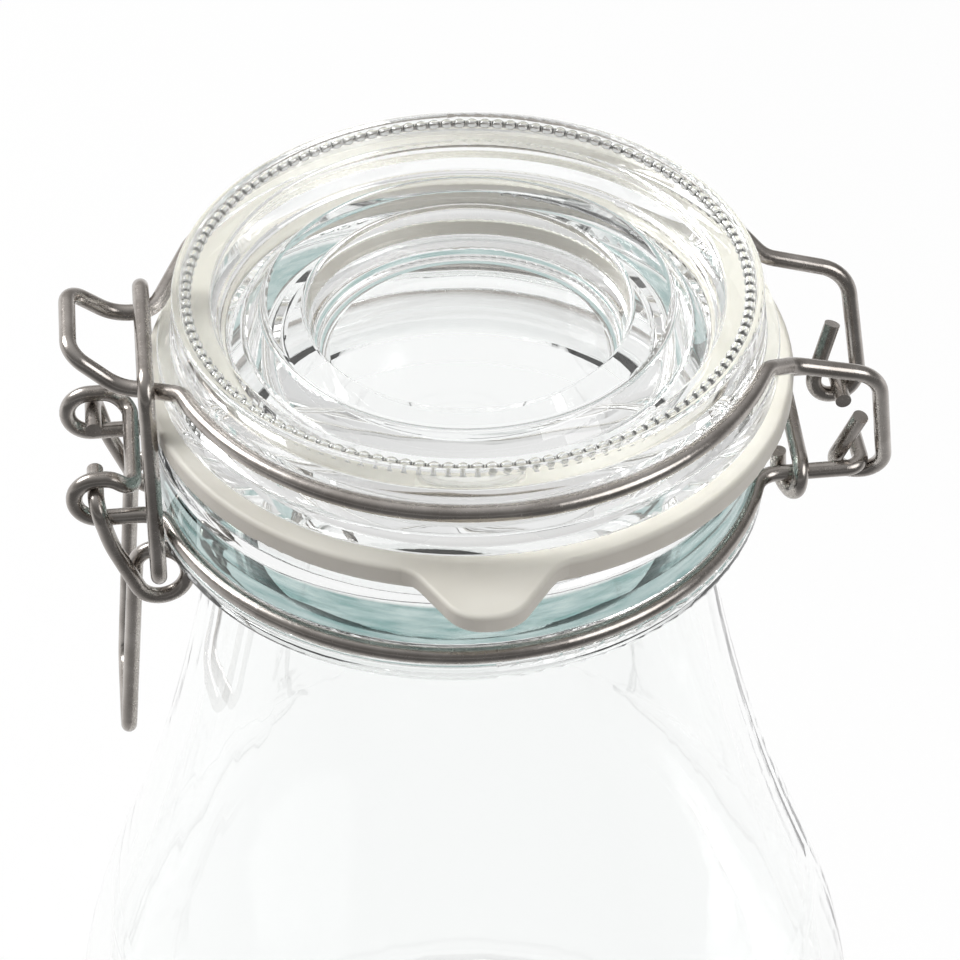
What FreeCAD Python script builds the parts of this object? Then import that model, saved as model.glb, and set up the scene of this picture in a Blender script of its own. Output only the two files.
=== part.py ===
"""Clip-top glass jar, shut: jar, lid, rubber gasket and the four bent wires of its clasp and hinge.

Millimetres, +Z up, origin on the jar's axis at the plane it stands on. The clasp is on the -X side,
the hinge on the +X side and the gasket's pull tab on the -Y side. Heights on the mouth, the lid and
the wires are drops below the crown, the plane of the ring of beads on the lid. Wires that are not quite
the same on both sides have a near value (-Y) and a far one (+Y).
"""
import FreeCAD, Part
import math
import os

Vector = FreeCAD.Vector

# ---- overall sizes -------------------------------------------------------------------------------
crown = 236.0               # height of the lid's bead ring above the table
body_radius = 69.0
glass_wall = 4.0
base_thickness = 7.0
heel_radius = 11.0          # outer rounding between the base and the wall
punt_depth = 2.5            # hollow under the base
punt_radius = 50.0

# ---- shoulder and neck ---------------------------------------------------------------------------
neck_radius = 38.0          # narrowest place, right under the bead of the mouth
neck_lean = 7.0             # degrees, how far the neck already flares where it leaves the bead
shoulder_lean = 21.6        # degrees from upright on the straight stretch of the shoulder
shoulder_drop = 148.5       # where the shoulder's line meets the body's wall
upper_bend = 360.0          # radius of the long hollow curve from neck to shoulder
lower_bend = 118.0          # radius of the round curve from shoulder to body

# ---- mouth: rim, collar, wire groove and bead ----------------------------------------------------
seat_drop = 16.7            # the rim's flat top, which the gasket lies on
mouth_radius = 38.5         # bore at the rim
collar_tuck = 0.2           # the collar lies this far inside the neck wire's centre line
rim_tuck = 0.9              # and its upper step this far inside the collar
rim_step = 5.0              # height of that step
bead_proud = 0.8            # the glass bead under the neck wire reaches this far past its centre line
bead_height = 2.6
bead_foot = 3.4             # height of the slope from the bead in to the neck
groove_play = 0.15          # between the neck wire and the bottom of its groove
groove_play_up = 0.2
groove_play_down = 0.3
groove_lip = 0.5            # height of the groove's two slanting lips
mouth_taper = 0.8           # the bore narrows by this from the rim to the neck
rim_slope = 1.0             # height of the slope between the collar and its upper step
inner_drop = 2.0            # the bore's narrowest place lies this much below the neck's outside
inner_shoulder_drop = 1.0   # and the inner shoulder this much below the outer one
punt_slope = 4.0            # width of the slope round the hollow under the base
punt_round = 3.0
foot_round = 1.2
neck_round = 1.5
bead_round = 0.9
groove_round = 0.7
lip_round_in = 0.4
lip_round_out = 0.5
collar_round = 1.2
rim_step_round = 0.8
rim_round = 1.4
bore_bend = 12.0            # soft bends inside the neck

# ---- lid -----------------------------------------------------------------------------------------
lid_shift = 2.0             # the lid sits this much nearer the hinge than the jar's axis
lid_radius = 44.0           # rolled rim of the lid
roll_radius = 0.7
roll_rise = 0.73            # top of the roll above the crown
roll_tightness = 0.95       # leaves a narrow flat on the roll's top and sides
rim_width = 5.7             # from the roll's outside to the inner edge of the rim's flat top
rim_top_drop = 0.45
bead_ring_inset = 2.2       # ring of small beads on the rim, here a low plain ridge
bead_ring_size = 0.55
moat_drop = 6.3             # ring-shaped hollow inside the rim
moat_outer_radius = 36.9
moat_inner_radius = 33.6
ridge_radius = 30.7         # raised ring between the moat and the middle dish
ridge_drop = 2.3
dish_radius = 24.3
dish_edge_drop = 3.6
dish_drop = 12.0
floor_thickness = 4.8
plug_radius = 29.3          # foot of the lid, inside the mouth
flange_proud = 1.0          # the skirt on the gasket reaches this far past the lid wire's centre line
flange_edge_drop = 8.5
locating_radius = 37.0      # step under the lid that keeps the gasket in its place
locating_depth = 2.2
locating_slope = 0.8
plug_slope = 1.6            # width of the slope from the locating step to the foot
moat_edge_drop = 0.8        # the moat's outer wall ends this far below the rim's flat top
dish_slope = 1.8
flange_slope = 0.1
lid_groove_play = 0.1       # between the lid wire and the glass
roll_slope = 0.15           # how far the roll's inner side leans
roll_step = 0.1             # width of the roll's foot inside it
dish_round = 2.0
dish_edge_round = 1.0
ridge_round = 1.3
moat_inner_round = 1.0
moat_outer_round = 1.2
rim_inner_round = 0.9
bead_ridge_round = 0.2
roll_foot_round = 0.1
lid_groove_round = 0.5
flange_round = 0.8
skirt_round = 0.7
locating_round = 0.9
plug_round = 1.4
foot_edge_round = 1.3

# ---- gasket --------------------------------------------------------------------------------------
gasket_thickness = 4.0
gasket_shift = 2.0          # the gasket lies a little off the jar's axis, towards the hinge
gasket_shift_near = 0.8     # and towards the side its tab is on
gasket_proud = 2.0          # how far it stands out from under the lid's skirt
seat_slack = 0.1            # rubber and glass stay this far apart
gasket_play = 0.2           # gap between the lid's locating step and the gasket's hole
tab_angle = -93.3           # degrees, direction in which the pull tab points
tab_reach = 9.3             # how far the tab stands out from the gasket
tab_root = 20.8             # width where the tab's sides meet the gasket's edge
tab_tip = 7.9               # width between the corners of the tip, before they are rounded
tab_tip_round = 6.2
tab_root_round = 6.0
tab_thickness = 3.2
tab_edge_round = 0.8
tab_overlap = 3.0           # how deep the tab's blank runs into the ring
gasket_round = 0.9
gasket_hole_round = 0.5

# ---- wires ---------------------------------------------------------------------------------------
wire = 2.5                  # diameter of all the wires
slip = 0.3                  # gap between wires that only touch when the clasp is pulled
tight_bend = 2.7            # centre-line radius of the sharpest bends

# neck wire: ring round the neck, two hooks at the clasp, two pins at the hinge
neck_wire_drop = 31.5
neck_wire_radius = 46.6
ring_step = 0.8             # clasp and hinge clear the lid's wire ring by at least this much more
hook_half = 10.3            # half the distance between the two hooks
hook_reach_near = 12.1      # how far the hooks stand out from the ring
hook_reach_far = 12.8
hook_height = 7.5
hook_top_reach = 6.2        # where the hook's upper strand starts to fall
bridge_reach = 3.1          # cross bar that joins the two upper strands
bridge_fall = 2.6
hook_flare = 5.0            # radius where a hook's lower strand leaves the ring
run_near = 11.8             # distance of the two hinge strands from the middle plane
run_far = 13.1
run_flare = 4.0
pin_reach = 14.7            # from the ring out to the hinge axis
pin_end = 4.1               # the two pins end this far from the middle plane

# lid wire: ring in the lid's groove, tongue at the clasp, two curled arms at the hinge
lid_wire_drop = 5.2
lid_wire_proud = 1.8        # its centre line lies this far outside the lid's rim
tongue_drop = 7.9
tongue_root_tuck_near = 0.2  # where the strands turn out to the tongue, inside the ring's radius
tongue_root_tuck_far = 1.0
tongue_root_near = 10.4
tongue_root_far = 8.3
tongue_root_sink_near = 0.35  # how far they sink below lying on the skirt's edge
tongue_root_sink_far = -0.05
tongue_rise_reach = 4.1     # from the bail out to where the tongue starts to rise
tongue_rise_near = 8.6
tongue_rise_far = 8.9
tongue_tip_reach = 10.9
tongue_tip_near = 7.0
tongue_tip_far = 7.5
tongue_tip_drop_near = 2.3
tongue_tip_drop_far = 1.7
tongue_root_bend = 3.6
tongue_leave_near = 16.0    # where the ring's arc ends on the clasp side
tongue_leave_far = 22.0
tongue_straight = 1.4       # how far the wire runs straight on from there before it bends out
arm_leave_half = 21.0       # where the ring's arc ends on the hinge side
arm_straight = 2.6
arm_root_gap_near = 0.6     # free space between the ring and the arms' roots
arm_root_gap_far = 0.9
arm_root_bend = 4.5
arm_root_half = 13.8
arm_root_drop_near = 8.8
arm_root_drop_far = 9.4
arm_corner_reach = 1.0      # from the hinge axis
arm_corner_half = 12.9
arm_corner_drop = 12.7
arm_bend = 6.2
curl_reach_out = 4.0        # the curl round the hinge pin, outside and inside
curl_reach_in = 4.7
curl_drop = 34.6
curl_gap_near = 0.0         # sideways between the curl's outer side and the hinge strand
curl_gap_far = 0.2
curl_step_near = 1.3        # the curl's inner side is this much nearer the middle
curl_step_far = 1.0
arm_end_reach = 0.9
arm_end_gap_near = 0.6
arm_end_gap_far = 1.3
arm_end_drop = 22.0

# lever: two pins in the hooks, an arm and a coil each side, and the U-shaped handle
lever_pin_reach = 8.8
lever_pin_end = 4.6
coil_clear = 0.4            # the coils' middles clear the ring, beside the bail's feet, by this
coil_drop = 41.9
coil_radius = 4.0
arm_bow_reach = 7.1         # the arms bow a little: the middle of the bow
arm_bow_drop = 34.6
handle_drop = 78.2
handle_lean = 5.6           # degrees that the handle hangs away from the jar
handle_half = 9.3
handle_corner = 3.4

# bail: the loop that the lever pulls down over the tongue
bail_tuck = 0.1             # the bar lies this much nearer the lid than the coils' middles
bail_sink = 0.15            # the bar lies over the sloping tongue strands, this much below their roots
bail_near = 13.6
bail_far = 13.0
bail_foot_half = 16.2
bail_pin_end = 8.6
bail_corner = 3.6
bail_pin_offset = 0.4       # the bail is pulled to the outer side of the coils

# back tie: short wire across the two hinge strands
tie_reach_near = 4.6
tie_reach_far = 5.6
tie_end_reach = 2.7         # how far each end's tip lies nearer the neck
tie_end_drop = 29.4

# ---- sizes that follow from the ones above -------------------------------------------------------
wire_gap = wire + slip
lid_wire_radius = lid_radius + lid_wire_proud
flange_radius = lid_wire_radius + flange_proud
gasket_radius = flange_radius + gasket_proud
rim_inner_radius = lid_radius - rim_width
bead_ring_radius = lid_radius - bead_ring_inset
collar_radius = neck_wire_radius - collar_tuck
rim_radius = collar_radius - rim_tuck
bead_radius = neck_wire_radius + bead_proud
ring_out = max(neck_wire_radius, lid_wire_radius + ring_step)
hook_tip_near = ring_out + hook_reach_near
hook_tip_far = ring_out + hook_reach_far
hook_top_end = ring_out + hook_top_reach
bridge_out = ring_out + bridge_reach
pin_out = ring_out + pin_reach
arm_root_near = lid_wire_radius + wire + arm_root_gap_near
arm_root_far = lid_wire_radius + wire + arm_root_gap_far
arm_corner = pin_out + arm_corner_reach
curl_out = pin_out + curl_reach_out
curl_in = pin_out - curl_reach_in
arm_end = pin_out - arm_end_reach
curl_out_near = run_near - wire - curl_gap_near
curl_out_far = run_far - wire - curl_gap_far
curl_in_near = curl_out_near - curl_step_near
curl_in_far = curl_out_far - curl_step_far
arm_end_near = run_near - arm_end_gap_near
arm_end_far = run_far - arm_end_gap_far
lever_pin_out = ring_out + lever_pin_reach
coil_out = math.sqrt(ring_out ** 2 - bail_foot_half ** 2) + wire + coil_clear
arm_bow_out = ring_out + arm_bow_reach
bail_out = coil_out - bail_tuck
tongue_root_out_near = lid_wire_radius - tongue_root_tuck_near
tongue_root_out_far = lid_wire_radius - tongue_root_tuck_far
tongue_root_drop_near = flange_edge_drop + tongue_root_sink_near - wire / 2
tongue_root_drop_far = flange_edge_drop + tongue_root_sink_far - wire / 2
tongue_rise_start = bail_out + tongue_rise_reach
tongue_tip = bail_out + tongue_tip_reach
tie_out_near = ring_out + tie_reach_near
tie_out_far = ring_out + tie_reach_far
run_drop = neck_wire_drop
gasket_top_drop = seat_drop - gasket_thickness
arm_half = hook_half + wire_gap + 0.1
handle_top_half = arm_half - wire_gap
lever_pin_drop = neck_wire_drop - hook_height + wire + 0.2
bail_drop = tongue_root_drop_far + bail_sink - wire_gap
bail_pin_drop = coil_drop - coil_radius + wire + 0.2
tie_drop = run_drop - wire_gap


def corner_arc(before, corner, after, radius):
    """Return the two tangent points and the middle point of an arc that rounds one corner."""
    into = (corner - before).normalize()
    out = (after - corner).normalize()
    turn = into.getAngle(out)
    reach = radius * math.tan(turn / 2)
    start = corner - into * reach
    end = corner + out * reach
    towards = (out - into).normalize()
    middle = corner + towards * (radius / math.cos(turn / 2) - radius)
    return start, middle, end


def rounded_edges(corners, closed=False):
    """Turn (point, radius) corners into straight edges joined by tangent arcs."""
    points = [point for point, radius in corners]
    radii = [radius for point, radius in corners]
    count = len(points)
    edges = []
    cursor = None
    first_start = None
    for index in range(count):
        is_end = not closed and index in (0, count - 1)
        if is_end or radii[index] == 0:
            start = end = points[index]
            middle = None
        else:
            before = points[index - 1]
            after = points[(index + 1) % count]
            start, middle, end = corner_arc(before, points[index], after, radii[index])
        if cursor is None:
            first_start = start
        elif (start - cursor).Length > 1e-5:
            edges.append(Part.LineSegment(cursor, start).toShape())
        if middle is not None:
            edges.append(Part.Arc(start, middle, end).toShape())
        cursor = end
    if closed and (first_start - cursor).Length > 1e-5:
        edges.append(Part.LineSegment(cursor, first_start).toShape())
    return edges


def bent_wire(corners):
    """Sweep a round section along rounded corners: one piece of bent wire with cut ends."""
    path = Part.Wire(rounded_edges(corners))
    heading = (corners[1][0] - corners[0][0]).normalize()
    section = Part.Wire([Part.makeCircle(wire / 2, corners[0][0], heading)])
    sweep = Part.BRepOffsetAPI.MakePipeShell(path)
    sweep.add(section)
    sweep.build()
    sweep.makeSolid()
    return sweep.shape()


def turned(outline, shift=0.0):
    """Spin an (r, z) outline of rounded corners about the upright axis at x = shift."""
    corners = [(Vector(r, 0, z), radius) for r, z, radius in outline]
    face = Part.Face(Part.Wire(rounded_edges(corners, closed=True)))
    solid = face.revolve(Vector(0, 0, 0), Vector(0, 0, 1), 360)
    solid.translate(Vector(shift, 0, 0))
    return solid


def at(x, y, drop):
    """Point given by its drop below the crown."""
    return Vector(x, y, crown - drop)


def joined(far, near):
    """Run the far half's corners on to the near half's, which are mirrored, back to front."""
    other = [(Vector(point.x, -point.y, point.z), radius) for point, radius in reversed(near)]
    return far + other


def mirrored(corners):
    """Run corners on to their mirror images in the middle plane."""
    return joined(corners, corners)


def ring_corners(centre_x, radius, drop, start, end, steps):
    """Corners whose rounding makes the circular arc between two angles in degrees."""
    step = (end - start) / steps
    reach = radius / math.cos(math.radians(step / 2))
    corners = []
    for index in range(steps):
        angle = math.radians(start + step * (index + 0.5))
        point = at(centre_x + reach * math.cos(angle), reach * math.sin(angle), drop)
        corners.append((point, radius))
    return corners


def flare_corner(radius, flare, half, side):
    """Corner where a strand at y = half leaves a ring outwards, and the ring's angle there."""
    centre_out = math.sqrt((radius + flare) ** 2 - (half + flare) ** 2)
    angle = math.atan2(half + flare, centre_out)
    touch_x = radius * math.cos(angle)
    touch_y = radius * math.sin(angle)
    corner_x = touch_x + (touch_y - half) * math.tan(angle)
    degrees = math.degrees(angle)
    return side * corner_x, degrees if side > 0 else 180 - degrees


def make_jar():
    """Glass jar: body, long shoulder, neck and the mouth with its collar, groove and bead."""
    groove_radius = neck_wire_radius - wire / 2 - groove_play
    groove_top = neck_wire_drop - wire / 2 - groove_play_up
    groove_foot = neck_wire_drop + wire / 2 + groove_play_down
    bead_bottom = groove_foot + groove_lip + bead_height
    neck_drop = bead_bottom + bead_foot
    lean = math.radians(neck_lean)
    slope = math.radians(shoulder_lean)
    # the neck's line and the shoulder's line meet where the long hollow curve has its corner
    rise = body_radius - neck_radius
    fall = shoulder_drop - neck_drop
    upper_fall = (rise - fall * math.tan(slope)) / (math.tan(lean) - math.tan(slope))
    upper_radius = neck_radius + upper_fall * math.tan(lean)
    inner_wall = glass_wall / math.cos(slope)
    outline = [
        (0.0, punt_depth, 0),
        (punt_radius - punt_slope, punt_depth, punt_round),
        (punt_radius, 0.0, foot_round),
        (body_radius, 0.0, heel_radius),
        (body_radius, crown - shoulder_drop, lower_bend),
        (upper_radius, crown - neck_drop - upper_fall, upper_bend),
        (neck_radius, crown - neck_drop, neck_round),
        (bead_radius, crown - bead_bottom, neck_round),
        (bead_radius, crown - groove_foot - groove_lip, bead_round),
        (groove_radius, crown - groove_foot, groove_round),
        (groove_radius, crown - groove_top, lip_round_in),
        (collar_radius, crown - groove_top + groove_lip, lip_round_out),
        (collar_radius, crown - seat_drop - rim_step, collar_round),
        (rim_radius, crown - seat_drop - rim_step + rim_slope, rim_step_round),
        (rim_radius, crown - seat_drop, rim_round),
        (mouth_radius, crown - seat_drop, rim_round),
        (mouth_radius - mouth_taper, crown - groove_foot, bore_bend),
        (neck_radius - glass_wall, crown - neck_drop - inner_drop, bore_bend),
        (upper_radius - inner_wall, crown - neck_drop - upper_fall, upper_bend),
        (body_radius - glass_wall, crown - shoulder_drop - inner_shoulder_drop, lower_bend - glass_wall),
        (body_radius - glass_wall, base_thickness, heel_radius),
        (0.0, base_thickness, 0),
    ]
    return turned(outline)


def make_lid():
    """Glass lid: rolled rim with the bead ridge, stepped dish, wire groove, skirt and foot."""
    groove_radius = lid_wire_radius - wire / 2 - lid_groove_play
    flange_foot = gasket_top_drop
    rim_top = crown - rim_top_drop
    roll_inner = lid_radius - 2 * roll_radius
    roll_top = crown + roll_rise
    locating_foot = flange_foot + locating_depth
    foot = crown - dish_drop - floor_thickness
    outline = [
        (0.0, crown - dish_drop, 0),
        (dish_radius - dish_slope, crown - dish_drop, dish_round),
        (dish_radius, crown - dish_edge_drop, dish_edge_round),
        (ridge_radius, crown - ridge_drop, ridge_round),
        (moat_inner_radius, crown - moat_drop, moat_inner_round),
        (moat_outer_radius, crown - moat_drop, moat_outer_round),
        (rim_inner_radius, rim_top - moat_edge_drop, rim_inner_round),
        (bead_ring_radius - bead_ring_size, rim_top, bead_ridge_round),
        (bead_ring_radius, rim_top + 2 * bead_ring_size, bead_ring_size / 2),
        (bead_ring_radius + bead_ring_size, rim_top, bead_ridge_round),
        (roll_inner - roll_step, rim_top, roll_foot_round),
        (roll_inner - roll_step + roll_slope, roll_top, roll_tightness * roll_radius),
        (lid_radius, roll_top, roll_tightness * roll_radius),
        (lid_radius, crown - lid_wire_drop + wire / 2 + lid_groove_play, lid_groove_round),
        (groove_radius, crown - lid_wire_drop + wire / 4, lid_groove_round),
        (groove_radius, crown - lid_wire_drop - wire / 2 - lid_groove_play, flange_round),
        (flange_radius - flange_slope, crown - flange_edge_drop, flange_round),
        (flange_radius, crown - flange_foot, skirt_round),
        (locating_radius, crown - flange_foot, lid_groove_round),
        (locating_radius - locating_slope, crown - locating_foot, locating_round),
        (plug_radius + plug_slope, crown - locating_foot, plug_round),
        (plug_radius, foot, foot_edge_round),
        (0.0, foot, 0),
    ]
    return turned(outline, lid_shift)


def make_gasket():
    """Rubber ring under the lid's skirt, with its rounded pull tab."""
    top = crown - gasket_top_drop - seat_slack
    bottom = crown - seat_drop + seat_slack
    hole = locating_radius + math.hypot(lid_shift - gasket_shift, gasket_shift_near) + gasket_play
    outline = [
        (hole, bottom, gasket_hole_round),
        (gasket_radius, bottom, gasket_round),
        (gasket_radius, top, gasket_round),
        (hole, top, gasket_hole_round),
    ]
    ring = turned(outline, gasket_shift)
    tab_bottom = top - tab_thickness
    tip = gasket_radius + tab_reach
    edge = math.sqrt(gasket_radius ** 2 - (tab_root / 2) ** 2)
    wing = tab_root / 2 + 0.8 * tab_root_round
    wing_edge = math.sqrt(gasket_radius ** 2 - wing ** 2)
    half = [
        (Vector(wing_edge - tab_overlap, wing, tab_bottom), 0),
        (Vector(wing_edge - 0.2, wing, tab_bottom), 0),
        (Vector(edge + 0.1, tab_root / 2, tab_bottom), tab_root_round),
        (Vector(tip, tab_tip / 2, tab_bottom), tab_tip_round),
    ]
    other = [(Vector(p.x, -p.y, p.z), radius) for p, radius in reversed(half)]
    face = Part.Face(Part.Wire(rounded_edges(half + other, closed=True)))
    tab = face.extrude(Vector(0, 0, tab_thickness))
    rims = [rim for rim in tab.Edges if abs(rim.tangentAt(rim.FirstParameter).z) < 0.5]
    outer = [rim for rim in rims if rim.BoundBox.XMin > gasket_radius + 0.5]
    tab = tab.makeFillet(tab_edge_round, outer)
    tab.rotate(Vector(0, 0, 0), Vector(0, 0, 1), tab_angle)
    tab.translate(Vector(gasket_shift, 0, 0))
    gasket = ring.fuse(tab).removeSplitter()
    gasket.translate(Vector(0, -gasket_shift_near, 0))
    return gasket


def neck_wire_half(strand, tip):
    """Corners of one half of the neck wire, from the hinge pin's end to the bar between the hooks."""
    run_x, run_angle = flare_corner(neck_wire_radius, run_flare, strand, 1)
    hook_x, hook_angle = flare_corner(neck_wire_radius, hook_flare, hook_half, -1)
    drop = neck_wire_drop
    top = drop - hook_height
    half = [
        (at(pin_out, pin_end, drop), 0),
        (at(pin_out, strand, drop), tight_bend),
        (at(run_x, strand, drop), run_flare),
    ]
    half += ring_corners(0.0, neck_wire_radius, drop, run_angle, hook_angle, 5)
    half += [
        (at(hook_x, hook_half, drop), hook_flare),
        (at(-tip, hook_half, drop), hook_height / 2 - 0.05),
        (at(-tip, hook_half, top), hook_height / 2 - 0.05),
        (at(-hook_top_end, hook_half, top), 3.5),
        (at(-bridge_out, hook_half, top + bridge_fall), tight_bend),
    ]
    return half


def make_neck_wire():
    """One wire: hinge pin, ring round the neck, two open hooks joined by a bar, hinge pin."""
    return bent_wire(joined(neck_wire_half(run_far, hook_tip_far), neck_wire_half(run_near, hook_tip_near)))


def on_ring_tangent(angle, reach):
    """Point past the end of the lid wire's ring, reach along its tangent at an angle in degrees."""
    turn = math.radians(angle)
    x = lid_shift + lid_wire_radius * math.cos(turn) - reach * math.sin(turn)
    y = lid_wire_radius * math.sin(turn) + reach * math.cos(turn)
    return at(x, y, lid_wire_drop)


def lid_wire_half(arm, leave_half, tongue):
    """Corners of one half of the lid wire, from the arm's cut end over the ring to the tongue."""
    leave_angle = math.degrees(math.asin(arm_leave_half / lid_wire_radius))
    tongue_angle = 180 - math.degrees(math.asin(leave_half / lid_wire_radius))
    half = list(zip(arm, (0, 3.0, 3.8, arm_bend, arm_root_bend)))
    half += [(on_ring_tangent(leave_angle, -arm_straight), 5.0)]
    half += ring_corners(lid_shift, lid_wire_radius, lid_wire_drop, leave_angle, tongue_angle, 5)
    half += [(on_ring_tangent(tongue_angle, tongue_straight), 4.0)]
    half += list(zip(tongue, (tongue_root_bend, 6.0, 3.4)))
    return half


def make_lid_wire():
    """One wire: curled arm end, arm, ring in the lid's groove, tongue, and back the same way."""
    arm_far = [
        at(arm_end, arm_end_far, arm_end_drop),
        at(curl_in, curl_in_far, curl_drop),
        at(curl_out, curl_out_far, curl_drop),
        at(arm_corner, arm_corner_half, arm_corner_drop),
        at(arm_root_far, arm_root_half, arm_root_drop_far),
    ]
    arm_near = [
        at(arm_end, arm_end_near, arm_end_drop),
        at(curl_in, curl_in_near, curl_drop),
        at(curl_out, curl_out_near, curl_drop),
        at(arm_corner, arm_corner_half, arm_corner_drop),
        at(arm_root_near, arm_root_half, arm_root_drop_near),
    ]
    tongue_far = [
        at(-tongue_root_out_far, tongue_root_far, tongue_root_drop_far),
        at(-tongue_rise_start, tongue_rise_far, tongue_drop),
        at(-tongue_tip, tongue_tip_far, tongue_tip_drop_far),
    ]
    tongue_near = [
        at(-tongue_root_out_near, tongue_root_near, tongue_root_drop_near),
        at(-tongue_rise_start, tongue_rise_near, tongue_drop),
        at(-tongue_tip, tongue_tip_near, tongue_tip_drop_near),
    ]
    far = lid_wire_half(arm_far, tongue_leave_far, tongue_far)
    near = lid_wire_half(arm_near, tongue_leave_near, tongue_near)
    return bent_wire(joined(far, near))


def make_lever():
    """One wire: pin, bowed arm, full-turn coil, hanging handle, and back the same way."""
    bow = Vector(-arm_bow_out, 0, crown - arm_bow_drop)
    centre = Vector(-coil_out, 0, crown - coil_drop)
    away = centre - bow
    reach = math.sqrt(away.Length ** 2 - coil_radius ** 2)
    heading = math.atan2(away.z, away.x) - math.atan2(coil_radius, reach)
    start = math.degrees(heading) - 90
    end = 180 - handle_lean
    turn = end - start if end > start else end - start + 360
    steps = 8
    step = turn / steps
    corner_reach = coil_radius / math.cos(math.radians(step / 2))
    half = [
        (at(-lever_pin_out, lever_pin_end, lever_pin_drop), 0),
        (at(-lever_pin_out, arm_half, lever_pin_drop), tight_bend),
        (at(-arm_bow_out, arm_half, arm_bow_drop), 25.0),
    ]
    for index in range(steps):
        angle = math.radians(start + step * (index + 0.5))
        y = arm_half + (handle_top_half - arm_half) * index / (steps - 1)
        point = centre + Vector(corner_reach * math.cos(angle), y, corner_reach * math.sin(angle))
        half.append((point, coil_radius * 0.97))
    fall = handle_drop - coil_drop
    handle_x = -coil_out - coil_radius - fall * math.tan(math.radians(handle_lean))
    half.append((at(handle_x, handle_half, handle_drop), handle_corner))
    return bent_wire(mirrored(half))


def bail_side(half):
    """Corners of one half of the bail, from the pin in the coil to the bar's corner."""
    return [
        (at(-coil_out - bail_pin_offset, bail_pin_end, bail_pin_drop), 0),
        (at(-coil_out - bail_pin_offset, bail_foot_half, bail_pin_drop), tight_bend),
        (at(-bail_out, half, bail_drop), bail_corner),
    ]


def make_bail():
    """One wire: pin through the coil, leg, bar across the tongue, and back the same way."""
    return bent_wire(joined(bail_side(bail_far), bail_side(bail_near)))


def back_tie_half(strand, out):
    """Corners of one half of the back tie, from its cut end over the hinge strand."""
    outer = strand + wire_gap
    inner = strand - wire_gap
    foot = run_drop + wire_gap
    return [
        (at(out - tie_end_reach, inner, tie_end_drop), 0),
        (at(out - tie_end_reach + 0.3, inner, foot), wire_gap - 0.05),
        (at(out - 0.6, outer, foot), wire_gap - 0.05),
        (at(out, outer, tie_drop), wire_gap - 0.05),
    ]


def make_back_tie():
    """One wire: end hooked round a hinge strand, span across, and the other end the same way."""
    return bent_wire(joined(back_tie_half(run_far, tie_out_far), back_tie_half(run_near, tie_out_near)))


makers = {
    "jar": make_jar,
    "lid": make_lid,
    "gasket": make_gasket,
    "neck_wire": make_neck_wire,
    "lid_wire": make_lid_wire,
    "lever": make_lever,
    "bail": make_bail,
    "back_tie": make_back_tie,
}
os.makedirs("parts", exist_ok=True)
for name, maker in makers.items():
    shape = maker()
    shape.exportStep("parts/" + name + ".step")
    print(name, shape.isValid(), len(shape.Solids), round(shape.Volume, 1))
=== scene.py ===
"""Clip-top glass jar, dressed for rendering: glass, beads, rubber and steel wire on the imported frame."""
import bmesh
import bpy
import math
from mathutils import Matrix, Vector


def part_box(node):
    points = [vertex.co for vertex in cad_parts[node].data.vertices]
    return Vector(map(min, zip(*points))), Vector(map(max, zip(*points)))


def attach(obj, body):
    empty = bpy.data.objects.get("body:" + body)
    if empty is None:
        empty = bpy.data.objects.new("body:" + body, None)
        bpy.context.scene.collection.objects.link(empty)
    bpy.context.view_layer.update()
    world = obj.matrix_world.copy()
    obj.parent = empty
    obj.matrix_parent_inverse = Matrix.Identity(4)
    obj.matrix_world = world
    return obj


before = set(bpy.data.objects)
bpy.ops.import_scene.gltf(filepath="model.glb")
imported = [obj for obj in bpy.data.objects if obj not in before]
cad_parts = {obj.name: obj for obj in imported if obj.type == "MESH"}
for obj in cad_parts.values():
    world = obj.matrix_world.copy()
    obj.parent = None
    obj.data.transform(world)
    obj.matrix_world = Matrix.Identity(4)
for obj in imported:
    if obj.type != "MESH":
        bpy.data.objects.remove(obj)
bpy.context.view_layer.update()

# ---- places taken from the frame -----------------------------------------------------------------
MM = 0.001
lid_low, lid_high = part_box("lid")
lid_x = (lid_low.x + lid_high.x) / 2
lid_top = lid_high.z
ring_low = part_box("neck_wire")[0]
gasket_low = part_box("gasket")[0]

# ---- sizes of what is added here -----------------------------------------------------------------
bead_count = 130
bead_ring_radius = 41.8 * MM
bead_radius = 1.0 * MM
bead_shape = (0.85, 1.0, 0.8)   # how far a bead is squeezed outwards, along the row and upwards
bead_segments = 16
bead_rings = 10
bead_sink = 0.98 * MM         # how far below the lid's highest line the beads are centred
collar_band = (ring_low.z + 2.5 * MM, gasket_low.z - 5.0 * MM)  # heights of the neck's teal collar
collar_inside = 43.0 * MM     # the teal is on the glass outside this radius

# ---- colours -------------------------------------------------------------------------------------
clear = (0.984, 0.991, 0.988)   # what the glass gives to what is seen through it
glass_ior = 1.5
daylight_share = (0.93, 0.94, 0.935)  # how much lamplight the glass lets through
# the neck collar's teal: partly the green of the thick glass, partly painted shade, in dark and pale streaks
teal_dark_tint_and_shade, teal_pale_tint_and_shade = (0.08, 0.19, 0.182), (0.31, 0.45, 0.435)
# painted shade of the beads: grey on their feet and sides, where the normal points away from up
bead_foot_painted_shade, bead_side_painted_shade = (0.45, 0.45, 0.445), (0.62, 0.62, 0.61)
# painted light and shade of the rubber: a lit top face and darker, greyer shaded sides
rubber_lit_top = ((0.64, 0.615, 0.55), (0.72, 0.70, 0.635))
rubber_shaded_side = ((0.50, 0.47, 0.42), (0.58, 0.55, 0.50))
wire_tones = ((0.35, 0.32, 0.295), (0.54, 0.505, 0.475))
black, white = (0.0, 0.0, 0.0), (1.0, 1.0, 1.0)

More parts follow.
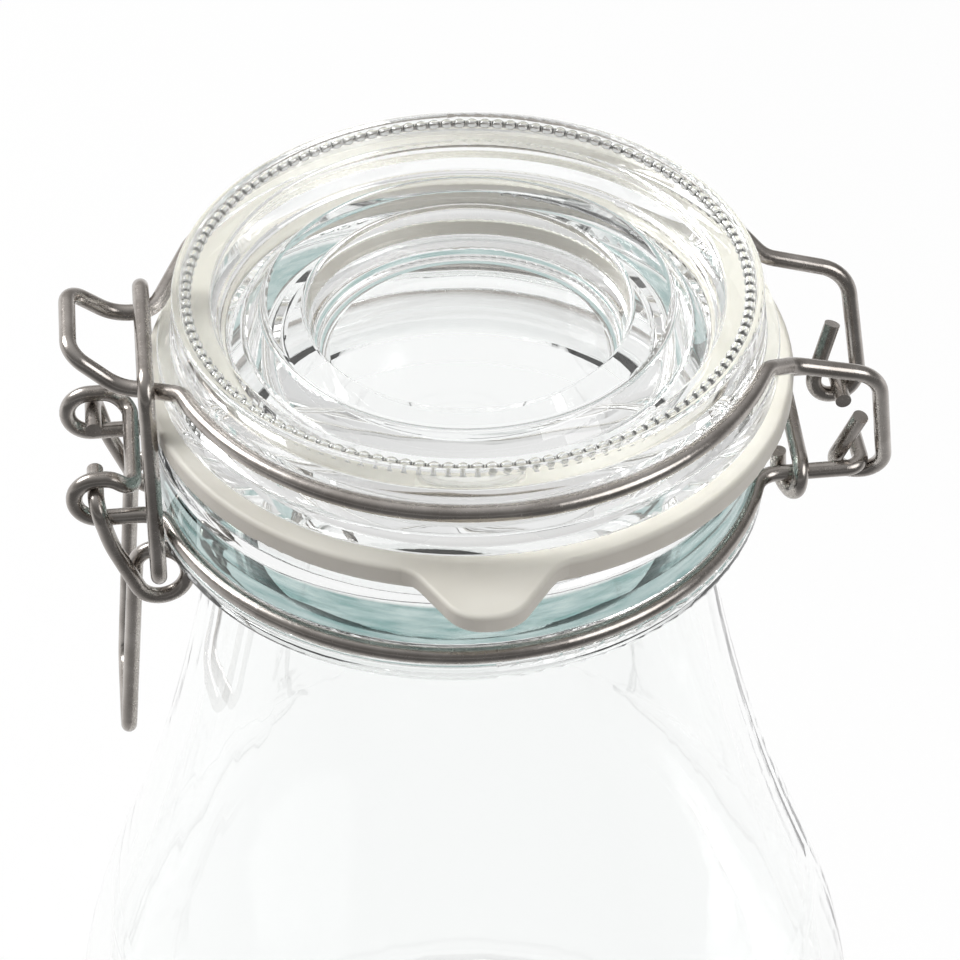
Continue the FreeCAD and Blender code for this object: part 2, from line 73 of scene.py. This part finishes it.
# ---- camera, floor and light ---------------------------------------------------------------------
camera_elevation = math.radians(40.73)
camera_azimuth = math.radians(-5.85)
camera_roll = math.radians(0.48)
camera_distance = 504.2 * MM
camera_lens = 127.5             # focal length in mm on a sensor 36 mm wide
aim = Vector((lid_x - 0.4 * MM, -19.1 * MM, lid_top - 22.78 * MM))
floor_reach = 3.0
floor_sink = 0.2 * MM
floor_share = 0.9               # the rest of the floor takes light and shadow
lamp_aim = Vector((0, 0, 0.15))


def node_tree(name):
    """A new material and helpers to add and link its nodes."""
    material = bpy.data.materials.new(name)
    material.use_nodes = True
    tree = material.node_tree
    tree.nodes.clear()
    output = tree.nodes.new("ShaderNodeOutputMaterial")
    return material, tree, output


def add(tree, kind, inputs=None, **settings):
    """Add a shader node, set its properties, then set or link its inputs."""
    node = tree.nodes.new(kind)
    for key, value in settings.items():
        setattr(node, key, value)
    for key, value in (inputs or {}).items():
        if isinstance(value, bpy.types.NodeSocket):
            tree.links.new(value, node.inputs[key])
        else:
            node.inputs[key].default_value = value
    return node


def ramp(tree, source, stops):
    """Colour ramp over a 0 to 1 value."""
    node = add(tree, "ShaderNodeValToRGB", {"Fac": source})
    elements = node.color_ramp.elements
    while len(elements) > 1:
        elements.remove(elements[0])
    elements[0].position = stops[0][0]
    elements[0].color = (*stops[0][1], 1.0)
    for position, colour in stops[1:]:
        elements.new(position).color = (*colour, 1.0)
    return node.outputs["Color"]


def glass_material(name, collar=None):
    """Clear glass with faint ripples; collar gives the heights and the radius of its teal outer face, which
    is partly the green of thick glass and partly painted shade.
    """
    material, tree, output = node_tree(name)
    place = add(tree, "ShaderNodeTexCoord").outputs["Object"]
    ripple = add(tree, "ShaderNodeTexNoise", {"Vector": place, "Scale": 45.0, "Detail": 2.0})
    bump = add(tree, "ShaderNodeBump", {
        "Strength": 0.12, "Distance": 0.0006, "Height": ripple.outputs["Fac"]})
    shader = add(tree, "ShaderNodeBsdfPrincipled", {
        "Base Color": (*clear, 1.0), "Roughness": 0.0, "IOR": glass_ior,
        "Transmission Weight": 1.0, "Normal": bump.outputs["Normal"]})
    if collar:
        low, high, inside = collar
        height = add(tree, "ShaderNodeSeparateXYZ", {"Vector": place}).outputs["Z"]
        flat = add(tree, "ShaderNodeVectorMath", {0: place, 1: (1.0, 1.0, 0.0)}, operation="MULTIPLY")
        radius = add(tree, "ShaderNodeVectorMath", {0: flat.outputs[0]}, operation="LENGTH").outputs["Value"]
        outside = add(tree, "ShaderNodeMath", {0: radius, 1: inside}, operation="GREATER_THAN").outputs[0]
        share = add(tree, "ShaderNodeMapRange", {"Value": height, "From Min": low, "From Max": high})
        stretched = add(tree, "ShaderNodeMapping", {"Vector": place, "Scale": (25.0, 25.0, 160.0)})
        streaks = add(tree, "ShaderNodeTexNoise", {"Vector": stretched.outputs[0], "Detail": 3.0})
        # painted shade with the thick glass's green: streaked dark teal on the collar's outer face
        teal = ramp(tree, streaks.outputs["Fac"], [(0.35, teal_dark_tint_and_shade), (0.65, teal_pale_tint_and_shade)])
        mask = ramp(tree, share.outputs["Result"], [
            (0.0, black), (0.04, white), (0.90, white), (0.97, black)])
        both = add(tree, "ShaderNodeMath", {0: mask, 1: outside}, operation="MULTIPLY").outputs[0]
        tint_and_shade = add(tree, "ShaderNodeMix", {0: both, 6: (*clear, 1.0), 7: teal}, data_type="RGBA")
        tree.links.new(tint_and_shade.outputs[2], shader.inputs["Base Color"])
    daylight = add(tree, "ShaderNodeBsdfTransparent", {"Color": (*daylight_share, 1.0)})
    lets_light = add(tree, "ShaderNodeMixShader", {
        0: add(tree, "ShaderNodeLightPath").outputs["Is Shadow Ray"],
        1: shader.outputs["BSDF"], 2: daylight.outputs["BSDF"]})
    tree.links.new(lets_light.outputs[0], output.inputs["Surface"])
    return material


def bead_material():
    """Glass of the beads: clear on top, with painted shade in grey round their sides and feet, set by how
    far the normal tilts from up.
    """
    material, tree, output = node_tree("clear_glass_beads")
    up = add(tree, "ShaderNodeSeparateXYZ", {
        "Vector": add(tree, "ShaderNodeTexCoord").outputs["Normal"]}).outputs["Z"]
    # painted shade: greyer where the bead's normal points less upward, clear on top
    colour = ramp(tree, up, [(0.35, bead_foot_painted_shade), (0.60, bead_side_painted_shade), (0.74, clear)])
    shader = add(tree, "ShaderNodeBsdfPrincipled", {
        "Base Color": colour, "Roughness": 0.02, "IOR": glass_ior, "Transmission Weight": 1.0})
    tree.links.new(shader.outputs["BSDF"], output.inputs["Surface"])
    return material


def rubber_material():
    """Cream rubber with a random mottle; its sides carry painted shade, darker and greyer than the painted
    lit top face, mixed by the normal's height.
    """
    material, tree, output = node_tree("pale_rubber")
    coords = add(tree, "ShaderNodeTexCoord")
    place = coords.outputs["Object"]
    cloud = add(tree, "ShaderNodeTexNoise", {"Vector": place, "Scale": 60.0, "Detail": 4.0})
    top = ramp(tree, cloud.outputs["Fac"], [(0.3, rubber_lit_top[0]), (0.7, rubber_lit_top[1])])
    side = ramp(tree, cloud.outputs["Fac"], [(0.3, rubber_shaded_side[0]), (0.7, rubber_shaded_side[1])])
    up = add(tree, "ShaderNodeSeparateXYZ", {"Vector": coords.outputs["Normal"]}).outputs["Z"]
    # painted shade: the colour goes from the top tone to the darker side tone as the normal tilts away from
    # up
    lit_share = add(tree, "ShaderNodeMapRange", {"Value": up, "From Min": 0.15, "From Max": 0.75})
    colour = add(tree, "ShaderNodeMix", {0: lit_share.outputs["Result"], 6: side, 7: top}, data_type="RGBA")
    grain = add(tree, "ShaderNodeTexNoise", {"Vector": place, "Scale": 2500.0, "Detail": 2.0})
    bump = add(tree, "ShaderNodeBump", {
        "Strength": 0.1, "Distance": 0.0001, "Height": grain.outputs["Fac"]})
    shader = add(tree, "ShaderNodeBsdfPrincipled", {
        "Base Color": colour.outputs[2], "Roughness": 0.45, "Subsurface Weight": 0.1,
        "Subsurface Radius": (0.002, 0.002, 0.0015), "Normal": bump.outputs["Normal"]})
    tree.links.new(shader.outputs["BSDF"], output.inputs["Surface"])
    return material


def wire_material():
    """Steel wire: warm grey metal, a little stained, with fine drawn scratches."""
    material, tree, output = node_tree("steel_wire")
    place = add(tree, "ShaderNodeTexCoord").outputs["Object"]
    cloud = add(tree, "ShaderNodeTexNoise", {"Vector": place, "Scale": 180.0, "Detail": 5.0})
    colour = ramp(tree, cloud.outputs["Fac"], [(0.3, wire_tones[0]), (0.7, wire_tones[1])])
    scratch = add(tree, "ShaderNodeTexNoise", {"Vector": place, "Scale": 1400.0, "Detail": 3.0})
    roughness = add(tree, "ShaderNodeMapRange", {
        "Value": scratch.outputs["Fac"], "To Min": 0.16, "To Max": 0.34})
    bump = add(tree, "ShaderNodeBump", {
        "Strength": 0.15, "Distance": 0.00005, "Height": scratch.outputs["Fac"]})
    shader = add(tree, "ShaderNodeBsdfPrincipled", {
        "Base Color": colour, "Metallic": 1.0, "Roughness": roughness.outputs["Result"],
        "Normal": bump.outputs["Normal"]})
    tree.links.new(shader.outputs["BSDF"], output.inputs["Surface"])
    return material


def dress_nodes(materials):
    """Give every CAD node its material and smooth shading."""
    for name, material in materials.items():
        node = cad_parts[name]
        node.data.materials.clear()
        node.data.materials.append(material)
        node.data.shade_smooth()


def make_beads(material):
    """Row of small pressed glass beads on the lid's rim."""
    mesh = bpy.data.meshes.new("lid_beads")
    made = bmesh.new()
    for index in range(bead_count):
        turn = 2 * math.pi * index / bead_count
        place = Vector((math.cos(turn) * bead_ring_radius + lid_x, math.sin(turn) * bead_ring_radius,
                        lid_top - bead_sink))
        squeezed = Matrix.Diagonal((*bead_shape, 1.0))
        matrix = Matrix.Translation(place) @ Matrix.Rotation(turn, 4, "Z") @ squeezed
        bmesh.ops.create_uvsphere(
            made, u_segments=bead_segments, v_segments=bead_rings, radius=bead_radius, matrix=matrix)
    made.to_mesh(mesh)
    made.free()
    mesh.shade_smooth()
    mesh.materials.append(material)
    beads = bpy.data.objects.new("lid_beads", mesh)
    bpy.context.scene.collection.objects.link(beads)
    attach(beads, "lid")


def make_camera():
    """Camera above the clasp's near side, looking down at the mouth."""
    level = math.cos(camera_elevation)
    forward = Vector((-math.sin(camera_azimuth) * level, math.cos(camera_azimuth) * level,
                      -math.sin(camera_elevation)))
    camera = bpy.data.cameras.new("camera")
    camera.sensor_width = 36.0
    camera.lens = camera_lens
    camera.clip_start = 0.01
    camera.clip_end = 20.0
    eye = bpy.data.objects.new("camera", camera)
    turn = forward.to_track_quat("-Z", "Y").to_matrix().to_4x4()
    place = Matrix.Translation(aim - forward * camera_distance)
    eye.matrix_world = place @ turn @ Matrix.Rotation(-camera_roll, 4, "Z")
    bpy.context.scene.collection.objects.link(eye)
    bpy.context.scene.camera = eye


def background_rays(tree):
    """1 for the rays that only show the background: seen directly, in metal or through glass."""
    path = add(tree, "ShaderNodeLightPath")
    two = add(tree, "ShaderNodeMath", {
        0: path.outputs["Is Camera Ray"], 1: path.outputs["Is Glossy Ray"]}, operation="MAXIMUM")
    return add(tree, "ShaderNodeMath", {
        0: two.outputs[0], 1: path.outputs["Is Transmission Ray"]}, operation="MAXIMUM").outputs[0]


def mirrored_rays(tree):
    """1 for the rays that a surface reflects, 0 for those that it lets through."""
    path = add(tree, "ShaderNodeLightPath")
    return add(tree, "ShaderNodeMath", {
        0: path.outputs["Is Glossy Ray"], 1: path.outputs["Is Transmission Ray"]},
        operation="SUBTRACT", use_clamp=True).outputs[0]


def make_floor():
    """Wide white table top, bright for the rays that show it and plain for the ones that light."""
    mesh = bpy.data.meshes.new("floor")
    corners = [(-1, -1), (1, -1), (1, 1), (-1, 1)]
    points = [(x * floor_reach, y * floor_reach, -floor_sink) for x, y in corners]
    mesh.from_pydata(points, [], [(0, 1, 2, 3)])
    material, tree, output = node_tree("white_table")
    cover = add(tree, "ShaderNodeBsdfDiffuse", {"Color": (0.9, 0.9, 0.9, 1.0)})
    glow = add(tree, "ShaderNodeEmission", {"Color": (1.0, 1.0, 1.0, 1.0), "Strength": 1.0})
    place = add(tree, "ShaderNodeTexCoord").outputs["Object"]
    depth = add(tree, "ShaderNodeSeparateXYZ", {"Vector": place}).outputs["Y"]
    behind = add(tree, "ShaderNodeMapRange", {
        "Value": depth, "From Min": -0.25, "From Max": 0.10, "To Min": 0.10, "To Max": 1.0})
    level = add(tree, "ShaderNodeMix", {0: mirrored_rays(tree), 2: 1.0, 3: behind.outputs["Result"]})
    tree.links.new(level.outputs[0], glow.inputs["Strength"])
    share = add(tree, "ShaderNodeMath", {0: background_rays(tree), 1: floor_share}, operation="MULTIPLY")
    mix = add(tree, "ShaderNodeMixShader", {
        0: share.outputs[0], 1: cover.outputs[0], 2: glow.outputs[0]})
    tree.links.new(mix.outputs[0], output.inputs["Surface"])
    mesh.materials.append(material)
    table = bpy.data.objects.new("floor", mesh)
    bpy.context.scene.collection.objects.link(table)


def make_world():
    """Pale studio: white near the floor, greyer above, darker in front and to the right."""
    world = bpy.data.worlds.new("studio")
    world.use_nodes = True
    bpy.context.scene.world = world
    tree = world.node_tree
    tree.nodes.clear()
    output = tree.nodes.new("ShaderNodeOutputWorld")
    direction = add(tree, "ShaderNodeTexCoord").outputs["Generated"]
    split = add(tree, "ShaderNodeSeparateXYZ", {"Vector": direction})
    height = ramp(tree, split.outputs["Z"], [
        (0.0, (1.0, 1.0, 1.0)), (0.10, (0.9, 0.9, 0.9)), (0.22, (0.45, 0.44, 0.43)),
        (0.5, (0.55, 0.54, 0.53)), (0.8, (0.8, 0.8, 0.8)), (1.0, (0.9, 0.9, 0.9))])
    behind = add(tree, "ShaderNodeMapRange", {
        "Value": split.outputs["Y"], "From Min": -0.7, "From Max": 0.5, "To Min": 0.35, "To Max": 1.0})
    aside = add(tree, "ShaderNodeMapRange", {
        "Value": split.outputs["X"], "From Min": 0.0, "From Max": 0.9, "To Min": 1.0, "To Max": 0.45})
    level = add(tree, "ShaderNodeMath", {
        0: behind.outputs["Result"], 1: aside.outputs["Result"]}, operation="MULTIPLY")
    through = add(tree, "ShaderNodeLightPath").outputs["Is Transmission Ray"]
    share = add(tree, "ShaderNodeMath", {0: through, 1: 0.5}, operation="MULTIPLY")
    lifted = add(tree, "ShaderNodeMix", {0: share.outputs[0], 2: level.outputs[0], 3: 1.0})
    pale = add(tree, "ShaderNodeMix", {
        0: share.outputs[0], 6: height, 7: (1.0, 1.0, 1.0, 1.0)}, data_type="RGBA")
    back = add(tree, "ShaderNodeBackground", {
        "Color": pale.outputs[2], "Strength": lifted.outputs[0]})
    tree.links.new(back.outputs[0], output.inputs["Surface"])


def area_lamp(name, place, size, watts):
    """Round soft lamp that faces the jar."""
    lamp = bpy.data.lights.new(name, "AREA")
    lamp.shape = "DISK"
    lamp.size = size
    lamp.energy = watts
    holder = bpy.data.objects.new(name, lamp)
    holder.location = place
    holder.rotation_euler = (lamp_aim - Vector(place)).to_track_quat("-Z", "Y").to_euler()
    bpy.context.scene.collection.objects.link(holder)


def make_lamps():
    area_lamp("key", (-0.9, 0.5, 1.1), 0.8, 14.0)
    area_lamp("fill", (0.9, -0.7, 0.9), 0.9, 6.0)


glass = glass_material("clear_glass")
jar_glass = glass_material("clear_glass_jar", (*collar_band, collar_inside))
rubber = rubber_material()
wire = wire_material()
dress_nodes({"jar": jar_glass, "lid": glass, "gasket": rubber, "neck_wire": wire, "lid_wire": wire,
             "lever": wire, "bail": wire, "back_tie": wire})
make_beads(bead_material())
make_camera()
make_floor()
make_world()
make_lamps()

# light passes many glass faces between the lid, the plug and the neck
paths = bpy.context.scene.cycles
paths.max_bounces = 26
paths.glossy_bounces = 16
paths.transmission_bounces = 20
bpy.context.scene.view_settings.view_transform = "Standard"
